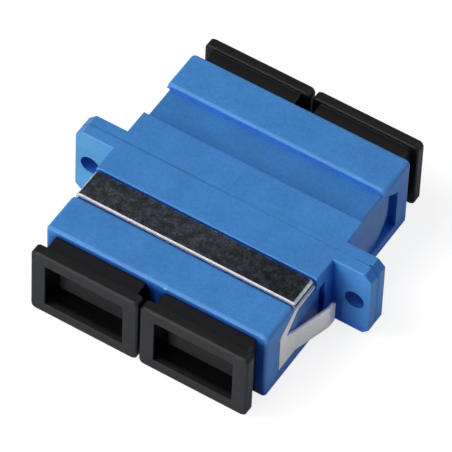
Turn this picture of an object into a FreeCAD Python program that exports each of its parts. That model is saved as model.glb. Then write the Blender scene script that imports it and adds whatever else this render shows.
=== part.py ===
"""Duplex fibre adapter: two welded housing halves with flange ears, a folded
panel clip, four inner holders, two split sleeves and four dust caps.

Millimetres.  X runs across the two ports, Y runs from the clip end (front) to
the plain end (rear), Z is up.  The origin lies under the middle of the flange,
on the plane that the housing rests on.  The weld seam is the plane Y = 0.
"""
import FreeCAD
import Part
import math
import os

from FreeCAD import Vector

# ---- ports -----------------------------------------------------------------
port_pitch = 12.7
port_width = 9.05
port_height = 7.45
port_corner_radius = 0.25
mouth_chamfer = 0.25
floor_wall = 0.695           # under each port
roof_wall = 0.335            # between each port and the clip recess
side_wall = 1.975            # between each port and the outer side
keyway_width = 2.9           # open slot under each port, for the key of the plug
keyway_length = 4.4          # from the end face

# ---- housing, outside ------------------------------------------------------
housing_length = 27.0        # over both end faces
collar_length = 4.9          # each end collar, along Y
block_length = 8.74          # raised middle block, over both halves
clip_bed_depth = 0.72        # clip recess, below the top of the collars
block_drop = 0.23            # middle block and ears, below the top of the collars
side_bed_depth = 0.33        # clip recess in each side wall
end_rim_radius = 0.4         # sides and top of each end face
recess_rim_radius = 0.35     # top of each collar, towards the clip recess
top_side_radius = 0.6        # sides of the top of each collar
bed_edge_radius = 0.3        # sides of the clip recess, under the folds
block_edge_radius = 0.18     # edges round the top of the middle block
under_edge_chamfer = 0.15    # lower edges outside the flange

# ---- flange ears -----------------------------------------------------------
ear_reach = 4.45             # each ear, out from the side wall
flange_thickness = 2.7       # both halves together
ear_top_chamfer = 0.85
ear_bottom_chamfer = 0.65
ear_edge_radius = 0.15       # round the outer face of each ear
ear_hole_margin = 1.8        # from the hole centre to the end of the ear
ear_hole_diameter = 2.2
seam_chamfer = 0.07          # shallow groove along the weld seam

# ---- panel clip ------------------------------------------------------------
sheet = 0.3
strap_lift = 0.19            # the strap is sprung clear of its recess
strap_gap = 0.3              # between the strap and the middle block
strap_end_gap = 0.35         # between the strap and the end collar
bend_radius = 0.6            # outside of the folds
hem_drop = 0.42              # straight part below each fold
leg_foot_gap = 0.12          # between the leg and the rail under it
leg_shoulder_drop = 1.43     # sloping upper edge, from the fold down
leg_shoulder_length = 2.25   # sloping upper edge, from the strap to the shoulder
leg_corner_drop = 0.6        # cut corner between the shoulder and the upright edge
leg_corner_length = 0.42
window_apex_drop = 1.23      # sharp end of the window, below the shoulder
window_upright = 1.17        # from the window to the upright edge
window_hem_inset = 0.535     # where the window meets the hem, from the strap edge
leaf_root_inset = 3.12       # where the leaf leaves the leg, from the upright edge
leaf_width = 3.0
leaf_tip_gap = 1.15          # between the leaf tip and the ear
leaf_tip_length = 1.1        # turned back along Y
leaf_tip_corner = 0.35       # cut off the upper corner of the tip
leaf_spread = 1.27           # how far the leaf stands out from the leg
leaf_turn_radius = 1.6

# ---- side pockets for the clip legs ----------------------------------------
rail_height = 1.38           # lower rail that stays flush with the collar
pocket_clearance = 0.1       # over the shoulder of the clip leg
pocket_end_gap = 0.23        # between the leg and the far wall
pocket_near_gap = 1.3        # between the ear and the near wall
pocket_corner_drop = 0.3     # slope of the upper edge at the far wall
slot_depth = 0.6             # deep slot at the near wall, beside the leaf tip
slot_length = 0.6
channel_depth = 0.9          # deep channel under the root of the leg
channel_length = 1.02        # along Y under the upright of the leg
channel_bend_gap = 0.4       # its near wall starts to curve this far above the leaf
channel_foot_length = 2.4    # how much longer it is at its foot
channel_bow = 0.35           # how far the curve stands out from a straight line

# ---- inner holders ---------------------------------------------------------
plate_side_margin = 0.375    # plate beyond the port, each side
plate_top_margin = 0.175     # plate beyond the port, above and below
plate_thickness = 1.05
plate_clearance = 0.05       # round the plate in its bed
barrel_wall = 0.65
barrel_lip = 0.55            # closes the barrel over the sleeve end
lip_bore = 3.0
arm_gap = 0.255              # between a latch arm and the inside of the cap plug
arm_thickness = 0.6
arm_width = 3.0
arm_lead = 1.35              # latch arm beyond the barrel
barb_height = 0.45
barb_length = 1.1
arm_root_radius = 0.4

# ---- split sleeves ---------------------------------------------------------
sleeve_length = 11.4
sleeve_diameter = 3.2
sleeve_bore = 2.5
sleeve_slit = 0.5
sleeve_chamfer = 0.15        # round the bore at both ends
sleeve_clearance = 0.05      # round the sleeve in its barrels

# ---- dust caps -------------------------------------------------------------
cap_flange_gap = 0.25        # between neighbouring flanges
cap_flange_thickness = 1.25
cap_flange_corner = 0.6
cap_face_chamfer = 0.18      # round the outer face
cap_back_chamfer = 0.12      # round the face by the neck
cap_neck_margin = 0.775      # neck beyond the port, each side
cap_neck_rise = 0.3          # neck beyond the port, above and below
cap_neck_length = 1.8
cap_neck_corner = 0.25
cap_seat_gap = 0.06          # between the neck and the end face
cap_recess_side = 0.75       # from the side of the neck to the hand recess
cap_recess_top = 1.075       # from the top of the neck to the hand recess
cap_recess_depth = 2.55
cap_recess_corner = 0.2
cap_recess_draft = 0.12      # how much the recess narrows on each side
plug_clearance = 0.07        # on each side of the plug, in the port
plug_wall = 0.7
plug_tip_gap = 0.45          # inner end of the plug, beyond the barrel
plug_lead = 0.25             # chamfer at the inner end
plug_corner = 0.35

# ---- heights, from the underside -------------------------------------------
port_centre_height = floor_wall + port_height / 2.0
port_top = floor_wall + port_height
clip_bed_height = port_top + roof_wall
collar_height = clip_bed_height + clip_bed_depth
block_height = collar_height - block_drop
strap_under = clip_bed_height + strap_lift
strap_top = strap_under + sheet
fold_end = strap_top - bend_radius
hem_height = fold_end - hem_drop
leg_shoulder_height = fold_end - leg_shoulder_drop
leg_corner_height = leg_shoulder_height - leg_corner_drop
window_apex_height = leg_shoulder_height - window_apex_drop
leg_foot_height = rail_height + leg_foot_gap
leaf_top = leg_foot_height + leaf_width
pocket_top = leg_shoulder_height + pocket_clearance
channel_bend_height = leaf_top + channel_bend_gap

# ---- distances from the weld seam, along Y ---------------------------------
half_length = housing_length / 2.0
half_block = block_length / 2.0
half_flange = flange_thickness / 2.0
collar_start = half_length - collar_length
strap_back = half_block + strap_gap
strap_front = collar_start - strap_end_gap
leg_shoulder_reach = strap_front + leg_shoulder_length
leg_reach = leg_shoulder_reach + leg_corner_length
window_apex_reach = leg_reach - window_upright
window_hem_reach = strap_front - window_hem_inset
leaf_root_reach = leg_reach - leaf_root_inset
leaf_tip_reach = half_flange + leaf_tip_gap
leaf_bend_reach = leaf_tip_reach + leaf_tip_length
pocket_start = half_flange + pocket_near_gap
pocket_reach = leg_reach + pocket_end_gap
channel_start = leg_reach - channel_length
channel_foot_start = channel_start - channel_foot_length
sleeve_end = sleeve_length / 2.0
barrel_end = sleeve_end + barrel_lip
arm_reach = barrel_end + arm_lead
plug_reach = barrel_end + plug_tip_gap
cap_back = half_length + cap_seat_gap
cap_front = cap_back + cap_neck_length + cap_flange_thickness

# ---- widths ----------------------------------------------------------------
collar_width = port_pitch + port_width + 2.0 * side_wall
half_width = collar_width / 2.0
side_bed = half_width - side_bed_depth
leg_outer = side_bed + sheet
ear_end = half_width + ear_reach
ear_hole_x = ear_end - ear_hole_margin
plate_width = port_width + 2.0 * plate_side_margin
plate_height = port_height + 2.0 * plate_top_margin
barrel_bore = sleeve_diameter + 2.0 * sleeve_clearance
barrel_diameter = barrel_bore + 2.0 * barrel_wall
cap_flange_width = port_pitch - cap_flange_gap
cap_flange_height = 2.0 * port_centre_height
cap_neck_width = port_width + 2.0 * cap_neck_margin
cap_neck_height = port_height + 2.0 * cap_neck_rise
cap_recess_width = cap_neck_width - 2.0 * cap_recess_side
cap_recess_height = cap_neck_height - 2.0 * cap_recess_top
plug_width = port_width - 2.0 * plug_clearance
plug_height = port_height - 2.0 * plug_clearance
arm_outer = plug_width / 2.0 - plug_wall - arm_gap
arm_inner = arm_outer - arm_thickness
past = 1.0                   # how far cutting tools run past a surface
X_AXIS = Vector(1, 0, 0)
Y_AXIS = Vector(0, 1, 0)
Z_AXIS = Vector(0, 0, 1)


def box(x0, x1, y0, y1, z0, z1):
    """Block between two opposite corners."""
    return Part.makeBox(x1 - x0, y1 - y0, z1 - z0, Vector(x0, y0, z0))


def prism_x(outline, x0, x1):
    """Solid with the (y, z) outline between two X planes."""
    points = [Vector(x0, y, z) for y, z in outline]
    face = Part.Face(Part.makePolygon(points + points[:1]))
    return face.extrude(Vector(x1 - x0, 0, 0))


def prism_y(outline, y0, y1):
    """Solid with the (x, z) outline between two Y planes."""
    points = [Vector(x, y0, z) for x, z in outline]
    face = Part.Face(Part.makePolygon(points + points[:1]))
    return face.extrude(Vector(0, y1 - y0, 0))


def prism_z(outline, z0, z1):
    """Solid with the (x, y) outline between two Z planes."""
    points = [Vector(x, y, z0) for x, y in outline]
    face = Part.Face(Part.makePolygon(points + points[:1]))
    return face.extrude(Vector(0, 0, z1 - z0))


def rounded_wire(width, height, radius, x, y, z):
    """Upright rounded rectangle centred on (x, y, z), facing along Y."""
    w = width / 2.0
    h = height / 2.0
    k = radius * (1.0 - math.sqrt(0.5))
    corners = [(1, -1), (1, 1), (-1, 1), (-1, -1)]
    edges = []
    ends = []
    for i, (sx, sz) in enumerate(corners):
        low = Vector(x + sx * w, y, z + sz * (h - radius))
        side = Vector(x + sx * (w - radius), y, z + sz * h)
        middle = Vector(x + sx * (w - k), y, z + sz * (h - k))
        first, last = (side, low) if i % 2 == 0 else (low, side)
        edges.append(Part.Arc(first, middle, last).toShape())
        ends.append((first, last))
    for i in range(4):
        start = ends[i][1]
        finish = ends[(i + 1) % 4][0]
        edges.append(Part.LineSegment(start, finish).toShape())
    return Part.Wire(Part.__sortEdges__(edges))


def rounded_prism(width, height, radius, x, z, y0, y1):
    """Rounded rectangle extruded along Y."""
    face = Part.Face(rounded_wire(width, height, radius, x, y0, z))
    return face.extrude(Vector(0, y1 - y0, 0))


def chamfered_prism(width, height, radius, chamfer, x, z, y0, y1):
    """Rounded rectangle extruded along Y with a chamfer round its end at y1."""
    prism = rounded_prism(width, height, radius, x, z, y0, y1)
    return prism.makeChamfer(chamfer, rim_edges(prism, y1))


def rectangle(width, height, x, y, z):
    """Corners of an upright rectangle centred on (x, y, z), facing along Y."""
    w = width / 2.0
    h = height / 2.0
    return [Vector(x + i * w, y, z + j * h) for i, j in ((-1, -1), (1, -1), (1, 1), (-1, 1))]


def drafted_pocket(width, height, draft, radius, x, z, y0, y1):
    """Rectangular space whose walls close in by the draft from y0 to y1, with rounded corners."""
    mouth = rectangle(width, height, x, y0, z)
    floor = rectangle(width - 2.0 * draft, height - 2.0 * draft, x, y1, z)
    faces = [Part.Face(Part.makePolygon(ring + ring[:1])) for ring in (mouth, floor)]
    for i in range(4):
        j = (i + 1) % 4
        wall = [mouth[i], mouth[j], floor[j], floor[i], mouth[i]]
        faces.append(Part.Face(Part.makePolygon(wall)))
    space = Part.Solid(Part.Shell(faces))
    corners = [e for e in space.Edges if e.BoundBox.YLength > abs(y1 - y0) / 2.0]
    return space.makeFillet(radius, corners)


def edges_in(shape, x0, x1, y0, y1, z0, z1, tolerance=0.01):
    """Edges of a shape that lie wholly inside a box."""
    found = []
    for edge in shape.Edges:
        b = edge.BoundBox
        inside_x = b.XMin > x0 - tolerance and b.XMax < x1 + tolerance
        inside_y = b.YMin > y0 - tolerance and b.YMax < y1 + tolerance
        inside_z = b.ZMin > z0 - tolerance and b.ZMax < z1 + tolerance
        if inside_x and inside_y and inside_z:
            found.append(edge)
    return found


def rim_edges(shape, y):
    """Edges of a shape that lie wholly in one Y plane."""
    b = shape.BoundBox
    return edges_in(shape, b.XMin, b.XMax, y, y, b.ZMin, b.ZMax)


def turned_about_z(shape):
    """The same shape turned half a turn about the Z axis."""
    copy = shape.copy()
    copy.rotate(Vector(0, 0, 0), Z_AXIS, 180)
    return copy


def both_sides(shape):
    """A shape and its mirror image across X = 0."""
    return [shape, shape.mirror(Vector(0, 0, 0), X_AXIS)]


# ---- housing ---------------------------------------------------------------
def housing_core():
    """Collar, clip bed and middle block of the front half, seen from the side."""
    outline = [
        (-half_length, 0.0),
        (-half_length, collar_height),
        (-collar_start, collar_height),
        (-collar_start, clip_bed_height),
        (-half_block, clip_bed_height),
        (-half_block, block_height),
        (-half_flange / 2.0, block_height),
        (-half_flange / 2.0, 0.0),
    ]
    core = prism_x(outline, -half_width, half_width)
    w = half_width
    along = []
    for side in (-w, w):
        along += edges_in(core, side, side, -half_length, -collar_start, collar_height, collar_height)
    core = core.makeFillet(top_side_radius, along)
    end_rim = [e for e in rim_edges(core, -half_length) if e.BoundBox.ZMax > floor_wall]
    core = core.makeFillet(end_rim_radius, end_rim)
    bed = clip_bed_height + recess_rim_radius
    recess_rim = [e for e in rim_edges(core, -collar_start) if e.BoundBox.ZMax > bed]
    core = core.makeFillet(recess_rim_radius, recess_rim)
    block_rim = edges_in(core, -w, w, -half_block, -half_block, block_height, block_height)
    for side in (-w, w):
        block_rim += edges_in(core, side, side, -half_block, 0, block_height, block_height)
    core = core.makeFillet(block_edge_radius, block_rim)
    lower_edges = edges_in(core, -w, w, -half_length, 0, 0, 0)
    outer_edges = [e for e in lower_edges if e.BoundBox.YMin < -half_flange]
    return core.makeChamfer(under_edge_chamfer, outer_edges)


def flange_plate():
    """Half of the flange with both ears, drilled and broken at its edges."""
    x = ear_end
    top = block_height
    a = ear_top_chamfer
    b = ear_bottom_chamfer
    outline = [
        (-x + b, 0.0), (-x, b), (-x, top - a), (-x + a, top),
        (x - a, top), (x, top - a), (x, b), (x - b, 0.0),
    ]
    plate = prism_y(outline, -half_flange, 0.0)
    plate = plate.makeChamfer(seam_chamfer, rim_edges(plate, 0.0))
    plate = plate.makeFillet(ear_edge_radius, rim_edges(plate, -half_flange))
    for side in (-1, 1):
        centre = Vector(side * ear_hole_x, -half_flange - past, block_height / 2.0)
        length = half_flange + 2.0 * past
        plate = plate.cut(Part.makeCylinder(ear_hole_diameter / 2.0, length, centre, Y_AXIS))
    return plate


def side_pocket():
    """Space cut from the right side wall for a clip leg, with its deeper slot and channel."""
    shoulder = leg_shoulder_height + pocket_clearance
    outline = [
        (-pocket_start, rail_height),
        (-pocket_start, pocket_top),
        (-half_block, pocket_top),
        (-half_block, collar_height + past),
        (-collar_start, collar_height + past),
        (-collar_start, fold_end + pocket_clearance),
        (-leg_shoulder_reach, shoulder),
        (-pocket_reach, shoulder - pocket_corner_drop),
        (-pocket_reach, rail_height),
    ]
    shallow = prism_x(outline, side_bed, half_width + past)
    slot_outline = [
        (-pocket_start, rail_height),
        (-pocket_start, pocket_top),
        (-pocket_start - slot_length, pocket_top),
        (-pocket_start - slot_length, rail_height),
    ]
    slot = prism_x(slot_outline, half_width - slot_depth, half_width)
    return shallow.fuse([slot, leg_channel(), bed_edge()])


def bed_edge():
    """What rounding the right side of the clip recess takes away."""
    x = side_bed - bed_edge_radius
    z = clip_bed_height - bed_edge_radius
    length = collar_start - half_block
    corner = box(x, side_bed + past, -collar_start, -half_block, z, clip_bed_height + past)
    return corner.cut(Part.makeCylinder(bed_edge_radius, length, Vector(x, -collar_start, z), Y_AXIS))


def leg_channel():
    """Deep channel under the root of the right clip leg, with a curved near wall."""
    x = half_width - channel_depth
    top = Vector(x, -channel_start, leg_shoulder_height)
    bend = Vector(x, -channel_start, channel_bend_height)
    foot = Vector(x, -channel_foot_start, rail_height)
    across = (foot - bend).normalize().cross(X_AXIS)
    middle = (bend + foot) * 0.5 + across * channel_bow
    corner = Vector(x, -pocket_reach, rail_height)
    shoulder = Vector(x, -pocket_reach, leg_corner_height)
    step = Vector(x, -leg_shoulder_reach, leg_shoulder_height)
    edges = [
        Part.LineSegment(top, bend).toShape(),
        Part.Arc(bend, middle, foot).toShape(),
        Part.LineSegment(foot, corner).toShape(),
        Part.LineSegment(corner, shoulder).toShape(),
        Part.LineSegment(shoulder, step).toShape(),
        Part.LineSegment(step, top).toShape(),
    ]
    return Part.Face(Part.Wire(edges)).extrude(Vector(channel_depth, 0, 0))


def port_space(x):
    """Everything removed for one port of the front half."""
    z = port_centre_height
    cavity = rounded_prism(
        port_width, port_height, port_corner_radius, x, z, -half_length - past, -half_flange / 2.0
    )
    mouth = chamfered_prism(
        port_width + 2.0 * mouth_chamfer, port_height + 2.0 * mouth_chamfer,
        port_corner_radius + mouth_chamfer, mouth_chamfer,
        x, z, -half_length - past, -half_length + mouth_chamfer,
    )
    keyway = box(
        x - keyway_width / 2.0, x + keyway_width / 2.0,
        -half_length - past, -half_length + keyway_length,
        -past, z,
    )
    bed_x = plate_width / 2.0 + plate_clearance
    bed_z = plate_height / 2.0 + plate_clearance
    bed = box(x - bed_x, x + bed_x, -plate_thickness - plate_clearance, past, z - bed_z, z + bed_z)
    return cavity.fuse([mouth, keyway, bed])


def housing_half():
    """Front half of the housing, one moulding."""
    half = housing_core().fuse(flange_plate())
    for pocket in both_sides(side_pocket()):
        half = half.cut(pocket)
    for side in (-1, 1):
        half = half.cut(port_space(side * port_pitch / 2.0))
    return half.removeSplitter()


# ---- panel clip ------------------------------------------------------------
def clip_strap():
    """Strap over the top with both folds and hems, one bent sheet."""
    inner = bend_radius - sheet
    x = leg_outer - bend_radius
    straight = box(-x, x, -strap_front, -strap_back, strap_under, strap_top)
    pieces = []
    length = strap_front - strap_back
    for side in (-1, 1):
        centre = Vector(side * x, -strap_front, fold_end)
        ring = Part.makeCylinder(bend_radius, length, centre, Y_AXIS)
        ring = ring.cut(Part.makeCylinder(inner, length, centre, Y_AXIS))
        x0, x1 = (x, x + past) if side > 0 else (-x - past, -x)
        quarter = ring.common(box(x0, x1, -strap_front, -strap_back, fold_end, strap_top + past))
        pieces.append(quarter)
    return straight.fuse(pieces)


def clip_leg():
    """Flat right leg: hem, sloping arm and upright up to the leaf root."""
    outline = [
        (-strap_back, fold_end),
        (-strap_front, fold_end),
        (-leg_shoulder_reach, leg_shoulder_height),
        (-leg_reach, leg_corner_height),
        (-leg_reach, leg_foot_height),
        (-leaf_root_reach, leg_foot_height),
        (-leaf_root_reach, leaf_top),
        (-window_apex_reach, window_apex_height),
        (-window_hem_reach, hem_height),
        (-strap_back, hem_height),
    ]
    return prism_x(outline, side_bed, leg_outer)


def clip_leaf():
    """Right leaf spring: spreads from the leg and turns back beside the ear."""
    spread = leaf_root_reach - leaf_bend_reach
    slope = math.atan2(leaf_spread, spread)
    tangent = leaf_turn_radius * math.tan(slope / 2.0)
    bend_x = leg_outer + leaf_spread
    centre_x = bend_x - leaf_turn_radius
    turn_end = -leaf_bend_reach + tangent

    def side_edges(offset):
        """Outer or inner edge of the leaf seen from above, offset inwards."""
        radius = leaf_turn_radius - offset
        centre = Vector(centre_x, turn_end, 0)
        at_start = centre + Vector(math.cos(slope), -math.sin(slope), 0) * radius
        at_middle = centre + Vector(math.cos(slope / 2.0), -math.sin(slope / 2.0), 0) * radius
        at_end = centre + Vector(radius, 0, 0)
        root = Vector(leg_outer - offset, -leaf_root_reach, 0)
        tip = Vector(bend_x - offset, -leaf_tip_reach, 0)
        return root, at_start, at_middle, at_end, tip

    outer = side_edges(0.0)
    inner = side_edges(sheet)
    edges = [
        Part.LineSegment(outer[0], outer[1]).toShape(),
        Part.Arc(outer[1], outer[2], outer[3]).toShape(),
        Part.LineSegment(outer[3], outer[4]).toShape(),
        Part.LineSegment(outer[4], inner[4]).toShape(),
        Part.LineSegment(inner[4], inner[3]).toShape(),
        Part.Arc(inner[3], inner[2], inner[1]).toShape(),
        Part.LineSegment(inner[1], inner[0]).toShape(),
        Part.LineSegment(inner[0], outer[0]).toShape(),
    ]
    face = Part.Face(Part.Wire(edges))
    face.translate(Vector(0, 0, leg_foot_height))
    blank = face.extrude(Vector(0, 0, collar_height))
    trim = prism_x(
        [
            (-leaf_root_reach - past, leg_foot_height),
            (-leaf_root_reach - past, leaf_top),
            (-leaf_tip_reach - leaf_tip_corner, leaf_top),
            (-leaf_tip_reach, leaf_top - leaf_tip_corner),
            (-leaf_tip_reach, leg_foot_height),
        ],
        side_bed - past, bend_x + past,
    )
    return blank.common(trim)


def panel_clip():
    """Spring clip cut and folded from one sheet."""
    sides = both_sides(clip_leg()) + both_sides(clip_leaf())
    return clip_strap().fuse(sides).removeSplitter()


# ---- inner parts -----------------------------------------------------------
def latch_arm():
    """Right latch arm of a front holder on the Y axis, with its barb turned inwards."""
    outline = [
        (arm_inner - arm_root_radius, -plate_thickness),
        (arm_inner, -plate_thickness - arm_root_radius),
        (arm_inner, -arm_reach + barb_length),
        (arm_inner - barb_height, -arm_reach + barb_length - barb_height / 2.0),
        (arm_inner - barb_height, -arm_reach + barb_length / 2.0),
        (arm_inner + arm_thickness / 2.0, -arm_reach),
        (arm_outer, -arm_reach),
        (arm_outer, -plate_thickness + plate_clearance),
        (arm_inner - arm_root_radius, -plate_thickness + plate_clearance),
    ]
    return prism_z(outline, -arm_width / 2.0, arm_width / 2.0)


def front_holder(x):
    """Plate, sleeve barrel and two latch arms of one front port, one moulding."""
    w = plate_width / 2.0
    h = plate_height / 2.0
    plate = box(-w, w, -plate_thickness, 0, -h, h)
    radius = barrel_diameter / 2.0
    barrel = Part.makeCylinder(radius, barrel_end, Vector(0, -barrel_end, 0), Y_AXIS)
    barrel = barrel.makeChamfer(barrel_lip / 2.0, rim_edges(barrel, -barrel_end))
    holder = plate.fuse([barrel] + both_sides(latch_arm()))
    bore = Part.makeCylinder(barrel_bore / 2.0, sleeve_end + past, Vector(0, -sleeve_end, 0), Y_AXIS)
    lip = Part.makeCylinder(lip_bore / 2.0, barrel_end + past, Vector(0, -barrel_end - past, 0), Y_AXIS)
    holder = holder.cut(bore).cut(lip)
    holder = holder.removeSplitter()
    holder.translate(Vector(x, 0, port_centre_height))
    return holder


def sleeve(x):
    """Split ceramic sleeve that runs through both holders of one port."""
    outer = sleeve_diameter / 2.0
    inner = sleeve_bore / 2.0
    c = sleeve_chamfer
    e = sleeve_end
    section = [
        (inner, -e + c), (inner + c, -e), (outer, -e),
        (outer, e), (inner + c, e), (inner, e - c),
    ]
    points = [Vector(r, y, 0) for r, y in section]
    face = Part.Face(Part.makePolygon(points + points[:1]))
    tube = face.revolve(Vector(0, 0, 0), Y_AXIS, 360)
    slit = box(-sleeve_slit / 2.0, sleeve_slit / 2.0, -e - past, e + past, 0, outer + past)
    tube = tube.cut(slit)
    tube.translate(Vector(x, 0, port_centre_height))
    return tube


# ---- dust caps -------------------------------------------------------------
def front_cap(x):
    """Dust cap of one front port: flange, neck with a hand recess, hollow plug."""
    z = port_centre_height
    flange_y = -cap_front + cap_flange_thickness
    flange = rounded_prism(
        cap_flange_width, cap_flange_height, cap_flange_corner, x, z, -cap_front, flange_y
    )
    flange = flange.makeChamfer(cap_face_chamfer, rim_edges(flange, -cap_front))
    flange = flange.makeChamfer(cap_back_chamfer, rim_edges(flange, flange_y))
    neck = rounded_prism(
        cap_neck_width, cap_neck_height, cap_neck_corner, x, z,
        flange_y - cap_flange_thickness / 2.0, -cap_back,
    )
    plug = chamfered_prism(
        plug_width, plug_height, plug_corner, plug_lead,
        x, z, -cap_back - cap_neck_length / 2.0, -plug_reach,
    )
    cap = flange.fuse([neck, plug])
    recess = drafted_pocket(
        cap_recess_width, cap_recess_height, cap_recess_draft, cap_recess_corner,
        x, z, -cap_front, -cap_front + cap_recess_depth,
    )
    inner_x = plug_width / 2.0 - plug_wall
    inner_z = plug_height / 2.0 - plug_wall
    hollow = box(x - inner_x, x + inner_x, -half_length, -plug_reach + past, z - inner_z, z + inner_z)
    cap = cap.cut(recess)
    cap = cap.cut(hollow)
    return cap.removeSplitter()


def main():
    """Build every piece and write one STEP file each."""
    left = -port_pitch / 2.0
    right = port_pitch / 2.0
    pieces = {
        "front_housing": housing_half(),
        "panel_clip": panel_clip(),
        "left_sleeve": sleeve(left),
        "right_sleeve": sleeve(right),
    }
    pieces["rear_housing"] = turned_about_z(pieces["front_housing"])
    for name, x in (("left", left), ("right", right)):
        pieces["front_" + name + "_holder"] = front_holder(x)
        pieces["rear_" + name + "_holder"] = turned_about_z(front_holder(-x))
        pieces["front_" + name + "_cap"] = front_cap(x)
        pieces["rear_" + name + "_cap"] = turned_about_z(front_cap(-x))
    os.makedirs("parts", exist_ok=True)
    for name, shape in pieces.items():
        solid = shape.Solids[0] if len(shape.Solids) == 1 else shape
        print(name, "solids", len(shape.Solids), "valid", shape.isValid(), round(shape.Volume, 2))
        solid.exportStep("parts/" + name + ".step")


main()
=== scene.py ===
"""Duplex fibre adapter: moulded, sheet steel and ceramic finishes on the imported
model, the small moulding marks on its housing, a plain studio and the camera.

Lengths are metres in the frame of the model: X across the ports, Y from the clip
end to the plain end, Z up, with the underside on Z = 0.  out_x and out_y are the
distances from the middle on either side.  A pair of values is a span, or the two
values that a ramp goes between.
"""
import math
from types import SimpleNamespace

import bpy
import numpy as np
from mathutils import Matrix, Vector


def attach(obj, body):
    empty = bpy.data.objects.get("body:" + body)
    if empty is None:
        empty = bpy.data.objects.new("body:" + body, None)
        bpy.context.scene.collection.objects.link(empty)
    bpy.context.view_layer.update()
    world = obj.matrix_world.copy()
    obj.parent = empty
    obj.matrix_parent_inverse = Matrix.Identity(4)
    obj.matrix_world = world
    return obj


MM = 0.001

# ---- camera ----------------------------------------------------------------
view_azimuth = math.radians(30.07)
view_elevation = math.radians(51.09)
view_roll = math.radians(2.71)
view_distance = 572.9 * MM
view_pivot = Vector((0.0, 0.0, 4.6 * MM))
view_offset = Vector((0.221 * MM, 0.360 * MM, 0.0))
lens_length = 459.4                         # in millimetres, as the sensor is
sensor_width = 36.0
nearest_seen = 0.01
farthest_seen = 20.0

# ---- studio ----------------------------------------------------------------
lamp_distance = 600.0 * MM
lamps = (                                   # name, angles, size, power and colour
    ("front", -14.0, 13.5, 0.28, 3.25, (1.0, 0.98, 0.90)),
    ("left", -62.0, 57.0, 0.30, 2.45, (1.0, 0.98, 0.96)),
    ("right", 117.0, 45.0, 0.62, 1.2, (0.95, 0.96, 1.0)),
    ("back", 176.0, 25.0, 0.30, 0.6, (0.90, 0.96, 1.0)),
)
white = (1.0, 1.0, 1.0, 1.0)
room_tint = (0.86, 0.91, 1.0, 1.0)
room_rise = (0.05, 0.5)                     # upward part of the direction looked in
room_levels = (0.05, 0.035)                 # dimmer overhead
floor_reach = 2.0
floor_drop = 0.01 * MM                      # below the underside of the housing
floor_lit = (0.655, 0.70, 0.81, 1.0)        # gives light back to the object
floor_shown = (0.27, 0.27, 0.27, 1.0)       # shows the shadow to the camera
floor_shown_glow = 0.81
floor_mirrored_glow = 0.10

# ---- masks and noises ------------------------------------------------------
crisp = 0.02 * MM                           # softness of the border of a mask
slanted = (0.3, 0.5)                        # normal along Z, from upright to slanted
noise_core = (0.35, 0.65)                   # where most values of a noise lie
noise_body = (0.3, 0.7)
noise_reach = (0.2, 0.8)

# ---- moulded plastic -------------------------------------------------------
plastic_ior = 1.5
grain_size = 0.16 * MM                      # spark-eroded grain
grain_tone = 0.06
grain_height = 0.6
pit_size = 0.45 * MM
pit_tone = 0.04
pit_height = 0.4
pit_roughness = 0.05
cloud_size = 4.0 * MM                       # flow clouds
cloud_tone = 0.05
scratch_scale = (60.0, 900.0, 900.0)        # long along X, then turned a little
scratch_turn = (0.0, 0.0, 0.5)
scratch_size = 0.125                        # in the space that the scale gives
scratch_peak = (0.70, 0.78)                 # the noise is so high on scratches only
scratch_height = 0.3
scratch_roughness = 0.05
edge_samples = 6
worn_edge = (0.02, 0.25)                    # sharpness, from kept to worn
worn_patches = (0.4, 1.0)
# how closed in a place is sets the painted shade in corners
closed_distance = 3.0 * MM                  # how far off a wall closes a place in
closed_samples = 8
closed_sky = (0.35, 0.95)                   # open part of the sky, closed in to open

# ---- housing ---------------------------------------------------------------
housing_blue = (0.051, 0.210, 0.528, 1.0)
edge_wear_and_highlight_cyan = (0.07, 0.43, 0.38, 1.0)         # worn edges, with a painted cyan highlight on the fillets
corner_shade_blue = (0.013, 0.115, 0.57, 1.0)     # painted shade: deeper blue where it is closed in
pocket_reflection_tint = (0.16, 0.20, 0.36, 1.0)       # painted lilac-grey reflection on the polished floors of the side pockets
lit_front_blue = (0.061, 0.240, 0.472, 1.0)     # painted light: paler front face of the left ear, where the light falls
chamfer_shade_blue = (0.016, 0.12, 0.50, 1.0)     # painted shade: deeper blue on the upper chamfer of the right ear
bore_shade_blue = (0.018, 0.115, 0.48, 1.0)       # painted shade: deep navy in the holes of the ears
bed_z = (8.0 * MM, 8.6 * MM)                # polished beds in the top
bed_out_y = (4.3 * MM, 8.65 * MM)
pocket_out_x = (12.3 * MM, 12.6 * MM)
pocket_out_y = (2.6 * MM, 11.3 * MM)
pocket_z = (1.0 * MM, 8.3 * MM)
pocket_softness = 0.1 * MM
pocket_share = 0.16
chamfer_x = (16.25 * MM, 17.25 * MM)
chamfer_z = (7.95 * MM, 8.95 * MM)
chamfer_share = 0.5
# painted shade: polished places a little darker
polished_shade_brightness = 0.90
polished_roughness = 0.55
polished_depth = 0.2
left_ear_x = (-12.95 * MM, -12.80 * MM)     # where the left ear meets the side
left_ear_turn = (-0.8, -0.5)                # normal along Y, from front to side
# share of the painted corner shade that the left ear keeps
left_ear_closed = 0.15
end_face_out_y = (13.25 * MM, 13.45 * MM)   # where the end faces begin; painted shade darkens them under the caps
end_face_shade = 0.4
hole_out_x = 15.5 * MM
hole_z = 4.485 * MM
bore_reach = 1.13 * MM                      # from the axis, just past the wall

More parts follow.
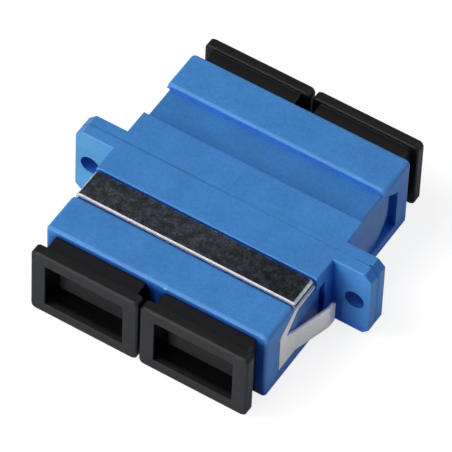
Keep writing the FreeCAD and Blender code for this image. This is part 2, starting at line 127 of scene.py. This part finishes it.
# ---- weld seam, its groove and the knit line -------------------------------
seam_y = (-0.14 * MM, 0.14 * MM)
seam_softness = 0.08 * MM
seam_wander = 0.05 * MM
seam_wander_size = 2.2 * MM
seam_tone_x = (-8.0 * MM, 12.0 * MM)
seam_tones = (-0.13, 0.10)                  # from the dark end to the light one
groove_y = (-0.13 * MM, 0.13 * MM)
groove_roughness = 0.95
filled_top_z = (8.79 * MM, 8.81 * MM)       # closed from here up
filled_flank_out_x = (16.10 * MM, 16.12 * MM)
filled_flank_z = (1.4 * MM, 1.5 * MM)
sideways_out_x = (16.10 * MM, 16.25 * MM)   # faces come to look sideways
upward_z = (7.8 * MM, 7.95 * MM)            # faces come to look up
knit_x = (-0.39 * MM, -0.31 * MM)
knit_x_softness = 0.05 * MM
knit_y = (0.3 * MM, 2.5 * MM)
knit_y_softness = 0.2 * MM
knit_tone = -0.08

# ---- dust caps -------------------------------------------------------------
cap_black = (0.0068, 0.0070, 0.0082, 1.0)
edge_grey = (0.016, 0.017, 0.021, 1.0)
cap_closed_shade = 0.5
port_out_x = 6.35 * MM
port_z = 4.6 * MM
recess_beside = (-4.6 * MM, 4.6 * MM)       # hand recess, from the axis of its port
recess_above = (-3.1 * MM, 3.1 * MM)
recess_out_y = (14.0 * MM, 16.4 * MM)
# painted light on the floor of the hand recess, painted shade on its walls
recess_painted_light = 2.3
recess_wall_turn = (0.4, 0.6)               # normal along Y, from a wall to the floor
recess_wall_painted_shade = 0.15
recess_wall_roughness = 0.5

# ---- inner holders and split sleeves ---------------------------------------
holder_cream = (0.78, 0.75, 0.66, 1.0)
edge_cream = (0.9, 0.88, 0.8, 1.0)
sleeve_white = (0.86, 0.85, 0.81, 1.0)
edge_white = (0.9, 0.9, 0.88, 1.0)

# ---- panel clip ------------------------------------------------------------
steel_dull = (0.51, 0.58, 0.69, 1.0)        # the two tones of the mottle
steel_clear = (0.71, 0.77, 0.86, 1.0)
fold_reflection_dark = (0.16, 0.13, 0.11, 1.0)
steel_satin = (0.97, 0.93, 0.85, 1.0)
steel_cut = (0.98, 0.98, 0.98, 1.0)
mottle_size = 0.8 * MM
mottle_roughness = (0.15, 0.22)
speck_size = 0.25 * MM
speck_tone = 0.10
speck_height = 0.7
speck_roughness = 0.05
rolling_line_size = 0.09 * MM
rolling_line_height = 0.3
rolling_scale = (0.06, 1.0, 1.0)            # long along X
rolled_depth = 0.0012 * MM
strap_shade_x = (-1.0 * MM, 11.0 * MM)        # painted shade: the strap darkens over this span
strap_shade_tone = 0.55
fold_z = (8.60 * MM, 8.73 * MM)             # painted dark reflection under each fold
fold_softness = 0.03 * MM
fold_radius = 0.20 * MM
fold_samples = 8
leg_z = (8.2 * MM, 8.4 * MM)                # the legs end over this span
satin_turn = (0.8, 0.95)                    # normal along X, to the face of a leg
satin_tones = (0.92, 1.0)
satin_roughness = 0.42
satin_dullness = (0.85, 0.6)
leaf_y = (-8.0 * MM, -4.5 * MM)             # from the upright of a leg to its leaf
sheared_turn = (0.8, 0.9)                   # normal along Y, to a sheared face
sheared_dullness = 0.85
burr_highlight_y = (-8.4 * MM, -8.01 * MM)            # painted highlight along the front edge of the strap, on its burr
burr_highlight_y_softness = 0.03 * MM
burr_highlight_z = (8.85 * MM, 8.9 * MM)
torn_depth = 0.04 * MM
torn_dullness = 0.7
torn_roughness = 0.5
cut_roughness = 0.40
chip_size = 0.35 * MM
chip_spread = (0.35, 0.55)
chip_tones = (0.85, 1.0)

# ---- moulding marks --------------------------------------------------------
# painted highlight: the runner's mark is a paler blue
runner_highlight_blue = (0.13, 0.35, 0.64, 1.0)
runner_edge_highlight = (0.18, 0.42, 0.66, 1.0)
runner_centre = (1.1 * MM, -13.42 * MM, 8.95 * MM)
runner_radii = (0.28 * MM, 0.17 * MM, 0.12 * MM)
flash_centre = (15.3 * MM, -0.20 * MM, 8.94 * MM)
flash_radii = (0.9 * MM, 0.07 * MM, 0.08 * MM)
flash_wave = 0.03 * MM
wave_angle = 5.0                            # of the wave, over half a lump's length
lump_spokes = 24
lump_rings = 11                             # between the poles


class Graph:
    """Adds nodes to one material or world and joins them in the same call."""

    def __init__(self, tree):
        self.tree = tree
        tree.nodes.clear()

    def add(self, kind, inputs=None, **settings):
        """One node with its settings, its inputs linked or set by name or number."""
        node = self.tree.nodes.new("ShaderNode" + kind)
        for key, value in settings.items():
            setattr(node, key, value)
        for key, value in (inputs or {}).items():
            socket = node.inputs[key]
            if isinstance(value, bpy.types.NodeSocket):
                self.tree.links.new(value, socket)
            else:
                socket.default_value = value
        return node

    def maths(self, operation, a, b=0.0):
        """Result of one sum on two values."""
        return self.add("Math", {0: a, 1: b}, operation=operation).outputs[0]

    def absolute(self, value):
        """The value without its sign."""
        return self.maths("ABSOLUTE", value)

    def times(self, product, *factors):
        """All the values multiplied."""
        for factor in factors:
            product = self.maths("MULTIPLY", product, factor)
        return product

    def greatest(self, most, *others):
        """The greatest of the values."""
        for other in others:
            most = self.maths("MAXIMUM", most, other)
        return most

    def rest(self, share):
        """One minus the share."""
        return self.maths("SUBTRACT", 1.0, share)

    def ramp(self, value, low, high, out_low=0.0, out_high=1.0):
        """Smooth change from out_low to out_high while the value goes from low to high."""
        inputs = {"Value": value, "From Min": low, "From Max": high,
                  "To Min": out_low, "To Max": out_high}
        return self.add("MapRange", inputs, interpolation_type="SMOOTHSTEP").outputs[0]

    def within(self, value, span, softness=crisp):
        """1 where the value lies in the span, 0 outside, with soft ends: a ramp up
        about its low end times a ramp down about its high end."""
        low, high = span
        rise = self.ramp(value, low - softness, low + softness)
        fall = self.ramp(value, high - softness, high + softness, 1.0, 0.0)
        return self.times(rise, fall)

    def scaled(self, value, mask, factor):
        """The value, multiplied by the factor where the mask is 1."""
        return self.times(value, self.ramp(mask, 0.0, 1.0, 1.0, factor))

    def noise(self, place, size, detail=2.0, roughness=0.5):
        """Soft random value from 0 to 1 whose blotches are about this size."""
        inputs = {"Vector": place, "Scale": 1.0 / size, "Detail": detail,
                  "Roughness": roughness}
        return self.add("TexNoise", inputs).outputs["Fac"]

    def uneven(self, noise, amount):
        """Factor that follows the noise from 1 less the amount to 1 and the amount."""
        return self.ramp(noise, *noise_core, 1.0 - amount, 1.0 + amount)

    def axes(self, vector):
        """The parts of the vector along X, Y and Z."""
        return self.add("SeparateXYZ", {0: vector}).outputs

    def true_normal(self):
        """The way the bare face looks."""
        return self.add("NewGeometry").outputs["True Normal"]

    def rounded_normal(self, radius, samples):
        """The normal, with edges rounded over the radius."""
        return self.add("Bevel", {"Radius": radius}, samples=samples).outputs[0]

    def blend(self, amount, a, b):
        """Colour a turned towards colour b by the amount.  The node has sockets for
        each kind of value; 6, 7 and 2 are those for colours."""
        return self.add("Mix", {0: amount, 6: a, 7: b}, data_type="RGBA").outputs[2]

    def mix_vectors(self, amount, a, b):
        """Vector a turned towards vector b by the amount, by the sockets 4, 5 and 1,
        which are those for vectors."""
        return self.add("Mix", {0: amount, 4: a, 5: b}, data_type="VECTOR").outputs[1]

    def toned(self, colour, brightness):
        """The colour multiplied by the brightness."""
        inputs = {"Color": colour, "Value": brightness}
        return self.add("HueSaturation", inputs).outputs[0]

    def bumped_surface(self, depth, height, normal, sockets):
        """The output, with a shader that has these sockets and a normal tilted by the
        slope of the height times the depth."""
        bump = self.add("Bump", {"Strength": 1.0, "Distance": depth, "Height": height,
                                 "Normal": normal})
        surface = self.add("BsdfPrincipled", {**sockets, "Normal": bump.outputs[0]})
        self.add("OutputMaterial", {"Surface": surface.outputs[0]})


def new_material(name):
    """A material and its empty graph."""
    material = bpy.data.materials.new(name)
    material.use_nodes = True
    return material, Graph(material.node_tree)


def polished_places(graph, axes, facing):
    """Where the mould of the housing is polished: the beds in the top, the floors of
    the side pockets, and the upper chamfer of the right ear, which slants upward."""
    out_x, out_y = graph.absolute(axes["X"]), graph.absolute(axes["Y"])
    bed = graph.times(graph.within(axes["Z"], bed_z), graph.within(out_y, bed_out_y))
    pocket = graph.times(graph.within(out_x, pocket_out_x),
                         graph.within(out_y, pocket_out_y),
                         graph.within(axes["Z"], pocket_z, pocket_softness))
    chamfer = graph.times(graph.within(axes["X"], chamfer_x),
                          graph.within(axes["Z"], chamfer_z),
                          graph.ramp(facing["Z"], *slanted))
    return bed, pocket, chamfer


def line_tones(graph, place, axes):
    """Brightness along the wandering weld seam, darker at the left and lighter at the
    right, and along the dark knit line: 1 plus the tone of each where it runs."""
    wander = graph.ramp(graph.noise(place, seam_wander_size), *noise_reach,
                        -seam_wander, seam_wander)
    seam = graph.within(graph.maths("ADD", axes["Y"], wander), seam_y, seam_softness)
    seam = graph.times(seam, graph.ramp(axes["X"], *seam_tone_x, *seam_tones))
    knit = graph.times(graph.within(axes["X"], knit_x, knit_x_softness),
                       graph.within(axes["Y"], knit_y, knit_y_softness), knit_tone)
    return graph.maths("ADD", 1.0, graph.maths("ADD", seam, knit))


def ear_bores(graph, axes):
    """Where the holes of the ears are: less than the reach away from the axis, by the
    root of the two offsets squared and added."""
    beside = graph.maths("SUBTRACT", graph.absolute(axes["X"]), hole_out_x)
    above = graph.maths("SUBTRACT", axes["Z"], hole_z)
    squares = graph.maths("ADD", graph.times(beside, beside), graph.times(above, above))
    distance = graph.maths("SQRT", squares)
    return graph.ramp(distance, bore_reach - crisp, bore_reach + crisp, 1.0, 0.0)


def groove_filling(graph, axes, groove):
    """Where the seam groove is closed by the weld, and the normal of the face around
    it: up on the top, sideways on the side of an ear, halfway on its chamfer."""
    out_x = graph.absolute(axes["X"])
    sideways = graph.times(graph.maths("SIGN", axes["X"]),
                           graph.ramp(out_x, *sideways_out_x))
    upward = graph.ramp(axes["Z"], *upward_z)
    outward = graph.add("CombineXYZ", {"X": sideways, "Z": upward}).outputs[0]
    outward = graph.add("VectorMath", {0: outward}, operation="NORMALIZE").outputs[0]
    top = graph.ramp(axes["Z"], *filled_top_z)
    flank = graph.times(graph.ramp(out_x, *filled_flank_out_x),
                        graph.ramp(axes["Z"], *filled_flank_z))
    return graph.times(groove, graph.greatest(top, flank)), outward


def housing_details(graph, look):
    """Turns the plain look into that of the housing: polished places are smoother and
    painted a little darker as shade, with a painted lilac reflection on the side pocket
    floors and painted shade on the upper chamfer of the right ear; the seam and knit
    lines show; painted shade makes corners, end faces and holes a deeper, darker blue;
    painted light makes the front of the left ear paler; and the seam groove is matt
    where it is open and flat where it is closed."""
    axes, facing = look.axes, look.facing
    bed, pocket, chamfer = polished_places(graph, axes, facing)
    polished = graph.greatest(bed, pocket, chamfer)
    groove = graph.within(axes["Y"], groove_y)
    beside_groove = graph.rest(groove)
    left_ear = graph.ramp(axes["X"], *left_ear_x, 1.0, 0.0)
    lit_front = graph.times(left_ear, graph.ramp(facing["Y"], *left_ear_turn, 1.0, 0.0))
    closed_in = graph.times(look.closed_in, beside_groove)
    closed_in = graph.scaled(closed_in, left_ear, left_ear_closed)

    for share, tint in (
        (graph.times(pocket, pocket_share), pocket_reflection_tint),
        (lit_front, lit_front_blue),
        (closed_in, corner_shade_blue),
        (graph.times(chamfer, chamfer_share), chamfer_shade_blue),
        (ear_bores(graph, axes), bore_shade_blue),
    ):
        look.colour = graph.blend(share, look.colour, tint)

    # painted shade on the end faces, where the caps close them in
    end_face = graph.ramp(graph.absolute(axes["Y"]), *end_face_out_y, 0.0, end_face_shade)
    look.brightness = graph.scaled(look.brightness, polished, polished_shade_brightness)
    look.brightness = graph.times(look.brightness, line_tones(graph, look.place, axes),
                                  graph.rest(graph.times(closed_in, end_face)))
    look.roughness = graph.scaled(look.roughness, polished, polished_roughness)
    look.roughness = graph.greatest(look.roughness, graph.times(groove, groove_roughness))
    look.worn = graph.times(look.worn, beside_groove)
    look.depth = graph.ramp(polished, 0.0, 1.0, look.depth, look.depth * polished_depth)
    closed, outward = groove_filling(graph, axes, groove)
    look.normal = graph.mix_vectors(closed, look.normal, outward)


def cap_details(graph, look):
    """Turns the plain look into that of a cap: the hand recess is painted paler, as
    lit, and unworn, its walls, whose faces look sideways, are painted dark as shade and
    smooth, and outside it painted shade darkens the corners where they are closed in."""
    axes = look.axes
    beside = graph.maths("SUBTRACT", graph.absolute(axes["X"]), port_out_x)
    above = graph.maths("SUBTRACT", axes["Z"], port_z)
    inside = graph.times(graph.within(beside, recess_beside),
                         graph.within(above, recess_above),
                         graph.within(graph.absolute(axes["Y"]), recess_out_y))
    outside = graph.rest(inside)
    wall = graph.times(inside, graph.ramp(graph.absolute(look.facing["Y"]),
                                          *recess_wall_turn, 1.0, 0.0))
    shaded = graph.times(look.closed_in, cap_closed_shade, outside)

    look.brightness = graph.scaled(look.brightness, inside, recess_painted_light)
    look.brightness = graph.scaled(look.brightness, wall, recess_wall_painted_shade)
    look.brightness = graph.times(look.brightness, graph.rest(shaded))
    look.roughness = graph.scaled(look.roughness, wall, recess_wall_roughness)
    look.worn = graph.times(look.worn, outside)
    look.normal = graph.mix_vectors(inside, look.normal, graph.true_normal())


def moulded_plastic(name, colour, roughness, shine, grain_depth, edge_radius,
                    worn_and_highlight_colour, worn_and_highlight_amount, details=None):
    """Injection moulded plastic: spark-eroded grain, faint flow clouds, soft edges that
    wear lighter, which on the housing also carry a painted highlight, and a few fine
    handling scratches, then the details of a piece that has its own.  An edge is as
    sharp as one minus the cosine between the bare normal and the rounded one."""
    material, graph = new_material(name)
    place = graph.add("TexCoord").outputs["Object"]
    grain = graph.noise(place, grain_size, detail=3.0, roughness=0.6)
    pits = graph.noise(place, pit_size)
    clouds = graph.noise(place, cloud_size)
    stretched = graph.add("Mapping", {"Vector": place, "Scale": scratch_scale,
                                      "Rotation": scratch_turn}).outputs[0]
    scratched = graph.ramp(graph.noise(stretched, scratch_size, detail=1.0), *scratch_peak)
    soft = graph.rounded_normal(edge_radius, edge_samples)
    cosine = graph.add("VectorMath", {0: soft, 1: graph.true_normal()},
                       operation="DOT_PRODUCT").outputs["Value"]
    edge = graph.ramp(graph.rest(cosine), *worn_edge)
    # how closed in each place is, for painted shade in corners
    open_sky = graph.add("AmbientOcclusion", {"Distance": closed_distance},
                         samples=closed_samples).outputs["AO"]
    uneven_roughness = graph.ramp(pits, *noise_reach,
                                  roughness - pit_roughness, roughness + pit_roughness)

    look = SimpleNamespace(
        place=place,
        axes=graph.axes(place),
        facing=graph.axes(graph.true_normal()),
        closed_in=graph.ramp(open_sky, *closed_sky, 1.0, 0.0),
        colour=colour,
        brightness=graph.times(graph.uneven(clouds, cloud_tone),
                               graph.uneven(grain, grain_tone),
                               graph.uneven(pits, pit_tone)),
        roughness=graph.maths("ADD", uneven_roughness,
                              graph.times(scratched, scratch_roughness)),
        worn=graph.times(edge, graph.ramp(pits, *noise_body, *worn_patches), worn_and_highlight_amount),
        depth=grain_depth,
        normal=soft,
    )
    if details:
        details(graph, look)

    shade = graph.toned(look.colour, look.brightness)
    # lighter edges: wear, and on the housing a painted highlight
    shade = graph.blend(look.worn, shade, worn_and_highlight_colour)
    height = graph.maths("ADD", graph.times(grain, grain_height),
                         graph.times(pits, pit_height))
    height = graph.maths("SUBTRACT", height, graph.times(scratched, scratch_height))
    graph.bumped_surface(look.depth, height, look.normal, {
        "Base Color": shade, "Roughness": look.roughness, "IOR": plastic_ior,
        "Specular IOR Level": shine,
    })
    return material


def sheet_steel():
    """Rolled stainless sheet: dull mottled faces with fine rolling lines along X,
    satin legs, and bright cut edges, sheared with a burr or torn.  The burr along the
    front edge of the strap carries a painted highlight, the strap is painted darker
    towards the right as shade, and a painted dark reflection lies under each fold.
    A face is known by its bare normal: along Y it is sheared, along X it is satin,
    and with a part along Z, on a leg, it is torn."""
    material, graph = new_material("rolled_steel")
    place = graph.add("TexCoord").outputs["Object"]
    axes, facing = graph.axes(place), graph.axes(graph.true_normal())
    mottle = graph.noise(place, mottle_size, detail=3.0, roughness=0.6)
    specks = graph.noise(place, speck_size)
    chips = graph.noise(place, chip_size, detail=1.0)
    rolled = graph.add("Mapping", {"Vector": place, "Scale": rolling_scale}).outputs[0]
    lines = graph.noise(rolled, rolling_line_size)

    on_leg = graph.ramp(axes["Z"], *leg_z, 1.0, 0.0)
    # painted highlight: white band on the burr along the strap's front edge
    burr_highlight = graph.times(graph.within(axes["Y"], burr_highlight_y, burr_highlight_y_softness),
                       graph.ramp(axes["Z"], *burr_highlight_z))
    sheared = graph.greatest(graph.ramp(graph.absolute(facing["Y"]), *sheared_turn), burr_highlight)
    torn = graph.times(graph.ramp(graph.absolute(facing["Z"]), *slanted), on_leg)
    cut = graph.greatest(sheared, torn)
    satin = graph.times(graph.ramp(graph.absolute(facing["X"]), *satin_turn), on_leg)

    shade = graph.blend(graph.ramp(mottle, *noise_core), steel_dull, steel_clear)
    shade = graph.toned(shade, graph.uneven(specks, speck_tone))
    # painted dark reflection under each fold
    shade = graph.blend(graph.within(axes["Z"], fold_z, fold_softness), shade, fold_reflection_dark)
    # painted shade: the strap darker towards the right
    shade = graph.toned(shade, graph.ramp(axes["X"], *strap_shade_x, 1.0, strap_shade_tone))
    satin_shade = graph.toned(steel_satin, graph.ramp(specks, *noise_core, *satin_tones))
    shade = graph.blend(satin, shade, satin_shade)
    cut_shade = graph.toned(steel_cut, graph.ramp(chips, *chip_spread, *chip_tones))
    shade = graph.blend(cut, shade, cut_shade)

    roughness = graph.maths("ADD", graph.ramp(mottle, *noise_body, *mottle_roughness),
                            graph.ramp(specks, *noise_body, 0.0, speck_roughness))
    roughness = graph.greatest(roughness, graph.times(satin, satin_roughness),
                               graph.times(cut, cut_roughness))
    roughness = graph.scaled(roughness, torn, torn_roughness)
    satin_dull = graph.times(satin, graph.ramp(axes["Y"], *leaf_y, *satin_dullness))
    dull = graph.greatest(graph.times(sheared, sheared_dullness),
                          graph.times(torn, torn_dullness), satin_dull)

    height = graph.maths("ADD", graph.times(specks, speck_height),
                         graph.times(lines, rolling_line_height))
    depth = graph.ramp(torn, 0.0, 1.0, rolled_depth, torn_depth)
    normal = graph.mix_vectors(sheared, graph.rounded_normal(fold_radius, fold_samples),
                               graph.true_normal())
    graph.bumped_surface(depth, height, normal, {
        "Base Color": shade, "Metallic": graph.rest(dull), "Roughness": roughness,
    })
    return material


def studio_world():
    """White behind the object for the camera and a dim room for everything else."""
    world = bpy.data.worlds.new("studio")
    bpy.context.scene.world = world
    world.use_nodes = True
    graph = Graph(world.node_tree)
    upward = graph.axes(graph.add("TexCoord").outputs["Generated"])["Z"]
    room = graph.ramp(upward, *room_rise, *room_levels)
    seen = graph.add("LightPath").outputs["Is Camera Ray"]
    back = graph.add("Background", {"Color": graph.blend(seen, room_tint, white),
                                    "Strength": graph.greatest(room, seen)})
    graph.add("OutputWorld", {"Surface": back.outputs[0]})


def studio_floor():
    """Pale floor that keeps the shadow of the object and is white where it is lit:
    for the camera a darker paint with a strong glow, in mirrors a faint glow."""
    corners = [(x * floor_reach, y * floor_reach, -floor_drop)
               for x, y in ((-1, -1), (1, -1), (1, 1), (-1, 1))]
    mesh = bpy.data.meshes.new("floor")
    mesh.from_pydata(corners, [], [(0, 1, 2, 3)])
    floor = bpy.data.objects.new("floor", mesh)
    bpy.context.scene.collection.objects.link(floor)
    material, graph = new_material("floor_white")
    path = graph.add("LightPath").outputs
    seen = path["Is Camera Ray"]
    mirrored = graph.greatest(path["Is Glossy Ray"], path["Is Transmission Ray"])
    glow_level = graph.greatest(graph.times(mirrored, floor_mirrored_glow),
                                graph.times(seen, floor_shown_glow))
    paint = graph.add("BsdfDiffuse", {"Color": graph.blend(seen, floor_lit, floor_shown)})
    glow = graph.add("Emission", {"Color": white, "Strength": glow_level})
    both = graph.add("AddShader", {0: paint.outputs[0], 1: glow.outputs[0]})
    graph.add("OutputMaterial", {"Surface": both.outputs[0]})
    mesh.materials.append(material)


def studio_lamps():
    """Square soft boxes turned towards the object, each at its bearing and height
    angle seen from there: a low warm one in front, a high one on the left, a wide
    cool one on the right and a weak cool one behind.  The bearing turns from the
    front towards the right."""
    for name, bearing, height, size, power, colour in lamps:
        data = bpy.data.lights.new(name, "AREA")
        data.size = size
        data.energy = power
        data.color = colour
        light = bpy.data.objects.new(name, data)
        turn, rise = math.radians(bearing), math.radians(height)
        way = Vector((math.sin(turn) * math.cos(rise), -math.cos(turn) * math.cos(rise),
                      math.sin(rise)))
        place = view_pivot + way * lamp_distance
        aim = (view_pivot - place).to_track_quat("-Z", "Y").to_matrix().to_4x4()
        light.matrix_world = Matrix.Translation(place) @ aim
        bpy.context.scene.collection.objects.link(light)


def camera():
    """Camera on a line through the pivot, turned about that line by the roll, then
    moved in its own plane by the offset."""
    back = Vector((
        math.sin(view_azimuth) * math.cos(view_elevation),
        -math.cos(view_azimuth) * math.cos(view_elevation),
        math.sin(view_elevation),
    ))
    right = Vector((math.cos(view_azimuth), math.sin(view_azimuth), 0.0))
    up = back.cross(right)
    across = right * math.cos(view_roll) + up * math.sin(view_roll)
    upwards = up * math.cos(view_roll) - right * math.sin(view_roll)
    place = (view_pivot + back * view_distance
             - across * view_offset.x - upwards * view_offset.y)
    data = bpy.data.cameras.new("camera")
    data.sensor_width = sensor_width
    data.lens = lens_length
    data.clip_start = nearest_seen
    data.clip_end = farthest_seen
    eye = bpy.data.objects.new("camera", data)
    turn = Matrix((across, upwards, back)).transposed().to_4x4()
    eye.matrix_world = Matrix.Translation(place) @ turn
    bpy.context.scene.collection.objects.link(eye)
    bpy.context.scene.camera = eye


def dress(nodes):
    """Gives every node of the model the finish that the last word of its name calls
    for, and returns the finishes."""
    finishes = {
        "housing": moulded_plastic(
            "satin_blue", housing_blue, roughness=0.42, shine=0.25,
            grain_depth=0.006 * MM, edge_radius=0.06 * MM,
            worn_and_highlight_colour=edge_wear_and_highlight_cyan, worn_and_highlight_amount=0.5, details=housing_details),
        "cap": moulded_plastic(
            "soft_black", cap_black, roughness=0.50, shine=0.29,
            grain_depth=0.006 * MM, edge_radius=0.14 * MM,
            worn_and_highlight_colour=edge_grey, worn_and_highlight_amount=0.25, details=cap_details),
        "holder": moulded_plastic(
            "natural_cream", holder_cream, roughness=0.38, shine=0.5,
            grain_depth=0.003 * MM, edge_radius=0.05 * MM,
            worn_and_highlight_colour=edge_cream, worn_and_highlight_amount=0.3),
        "sleeve": moulded_plastic(
            "ground_zirconia", sleeve_white, roughness=0.16, shine=0.6,
            grain_depth=0.001 * MM, edge_radius=0.03 * MM,
            worn_and_highlight_colour=edge_white, worn_and_highlight_amount=0.2),
        "clip": sheet_steel(),
    }
    for name, node in nodes.items():
        finish = finishes[name.split("_")[-1]]
        if not node.material_slots:
            node.data.materials.append(finish)
        for slot in node.material_slots:
            slot.material = finish
    return finishes


def moulding_lump(name, centre, radii, wave, finish):
    """Low lump of plastic left by the mould, half sunk in the housing: a closed ball
    of rings by sines and cosines of tilt and turn, stretched to its three radii, its
    long sides waved by a sine along X."""
    turn = np.linspace(0.0, 2.0 * np.pi, lump_spokes, endpoint=False)
    tilt = np.linspace(0.0, np.pi, lump_rings + 2)[1:-1]
    tilt, turn = np.meshgrid(tilt, turn, indexing="ij")
    x = radii[0] * np.sin(tilt) * np.cos(turn)
    y = radii[1] * np.sin(tilt) * np.sin(turn) + wave * np.sin(wave_angle * x / radii[0])
    z = radii[2] * np.cos(tilt)
    rings = np.stack([x, y, z], axis=-1).reshape(-1, 3)
    poles = np.array([[0.0, 0.0, radii[2]], [0.0, 0.0, -radii[2]]])
    points = np.concatenate([rings, poles]) + np.array(centre)

    spokes = np.arange(lump_spokes)
    nexts = (spokes + 1) % lump_spokes
    starts = lump_spokes * np.arange(lump_rings - 1)[:, None]
    a, b = starts + spokes, starts + nexts
    quads = np.stack([a, a + lump_spokes, b + lump_spokes, b], axis=-1).reshape(-1, 4)
    last = lump_spokes * (lump_rings - 1)
    upper_pole = np.full(lump_spokes, len(rings))
    top = np.stack([upper_pole, spokes, nexts], axis=-1)
    bottom = np.stack([upper_pole + 1, last + nexts, last + spokes], axis=-1)

    mesh = bpy.data.meshes.new(name)
    mesh.from_pydata(points.tolist(), [], quads.tolist() + top.tolist() + bottom.tolist())
    mesh.polygons.foreach_set("use_smooth", np.ones(len(mesh.polygons), dtype=bool))
    mesh.materials.append(finish)
    piece = bpy.data.objects.new(name, mesh)
    bpy.context.scene.collection.objects.link(piece)
    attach(piece, "adapter")


def moulding_marks(housing_finish):
    """The runner's break-off mark on the front edge, a real lump painted paler blue as a
    highlight, and the weld's flash on one ear.
    """
    runner_highlight = moulded_plastic(
        "runner_highlight_blue", runner_highlight_blue, roughness=0.35, shine=0.4,
        grain_depth=0.002 * MM, edge_radius=0.03 * MM,
        worn_and_highlight_colour=runner_edge_highlight, worn_and_highlight_amount=0.3)
    moulding_lump("runner_mark", runner_centre, runner_radii, 0.0, runner_highlight)
    moulding_lump("weld_flash", flash_centre, flash_radii, flash_wave, housing_finish)


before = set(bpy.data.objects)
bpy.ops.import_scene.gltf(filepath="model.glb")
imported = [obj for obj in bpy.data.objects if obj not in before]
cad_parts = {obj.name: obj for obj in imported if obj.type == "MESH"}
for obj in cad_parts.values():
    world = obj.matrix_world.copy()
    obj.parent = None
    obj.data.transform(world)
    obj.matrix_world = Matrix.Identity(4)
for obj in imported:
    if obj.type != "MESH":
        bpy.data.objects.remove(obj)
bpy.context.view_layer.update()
scene = bpy.context.scene
scene.view_settings.view_transform = "Standard"
finishes = dress(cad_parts)
moulding_marks(finishes["housing"])
studio_world()
studio_floor()
studio_lamps()
camera()
